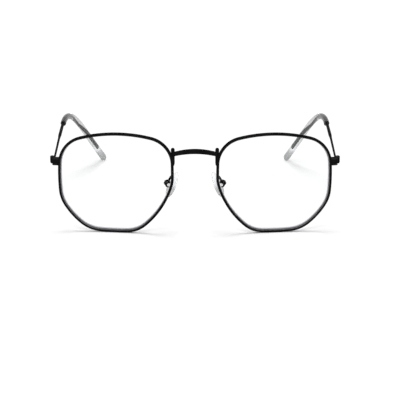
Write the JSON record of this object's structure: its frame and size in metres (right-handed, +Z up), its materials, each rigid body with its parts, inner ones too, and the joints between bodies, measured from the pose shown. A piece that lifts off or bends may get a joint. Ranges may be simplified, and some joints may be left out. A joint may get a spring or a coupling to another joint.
{
  "type": "wire-rimmed eyeglasses",
  "caption": "Wire-rimmed glasses with six-sided rims, flat clear lenses, an arched bridge on upright posts, screw-in nose pads and folding temples with clear tips.",
  "frame": {"origin": "middle of the box round the open glasses, at the height of the surface they stand on", "axes": "front faces -Y, temples run back along +Y, up is +Z; the wearer's left side is +X"},
  "size_m": [0.1356, 0.1398, 0.049],
  "materials": {
    "frame_black": "satin black lacquer over wire and small solid blocks",
    "lens_clear": "clear polished plastic lens with a paler ground edge",
    "screw_steel": "small steel screws with a slotted head",
    "screw_black": "blackened hinge screws with a slotted head",
    "pad_silicone": "clear soft silicone",
    "core_plastic": "clear hard plastic plate and lug inside the pad",
    "tip_clear": "clear polished plastic with the temple's metal core seen inside"
  },
  "bodies": {
    "front": {"rim_right": "frame_black", "rim_left": "frame_black", "lens_right": "lens_clear", "lens_left": "lens_clear", "bridge": "frame_black", "bridge_post_right": "frame_black", "bridge_post_left": "frame_black", "endpiece_right": "frame_black", "endpiece_left": "frame_black", "closing_block_right": "frame_black", "closing_block_left": "frame_black", "lock_screws": "screw_steel", "hinge_front_right": "frame_black", "hinge_front_left": "frame_black", "hinge_screws": "screw_black", "pad_arm_right": "frame_black", "pad_arm_left": "frame_black", "pad_box_right": "frame_black", "pad_box_left": "frame_black", "pad_screws": "screw_steel"},
    "temple_right": {"hinge_temple_right": "frame_black", "temple_wire_right": "frame_black", "temple_tip_right": "tip_clear"},
    "pad_right": {"nose_pad_right": "pad_silicone", "pad_core_right": "core_plastic"},
    "temple_left": {"hinge_temple_left": "frame_black", "temple_wire_left": "frame_black", "temple_tip_left": "tip_clear"},
    "pad_left": {"nose_pad_left": "pad_silicone", "pad_core_left": "core_plastic"}
  },
  "joints": [
    {"name": "fold_right", "type": "hinge", "parent": "front", "child": "temple_right", "pos_m": [-0.06682, -0.05548, 0.03334], "axis": [0, 0, -1], "range_deg": [0, 78]},
    {"name": "fold_left", "type": "hinge", "parent": "front", "child": "temple_left", "pos_m": [0.06682, -0.05548, 0.03334], "axis": [0, 0, 1], "range_deg": [0, 82]},
    {"name": "pad_rock_right", "type": "hinge", "parent": "front", "child": "pad_right", "pos_m": [-0.0127, -0.06034, 0.02294], "axis": [-0.3137, 0.9279, 0.2016], "range_deg": [-10, 10]},
    {"name": "pad_rock_left", "type": "hinge", "parent": "front", "child": "pad_left", "pos_m": [0.0127, -0.06034, 0.02294], "axis": [0.3137, 0.9279, 0.2016], "range_deg": [-10, 10]}
  ]
}
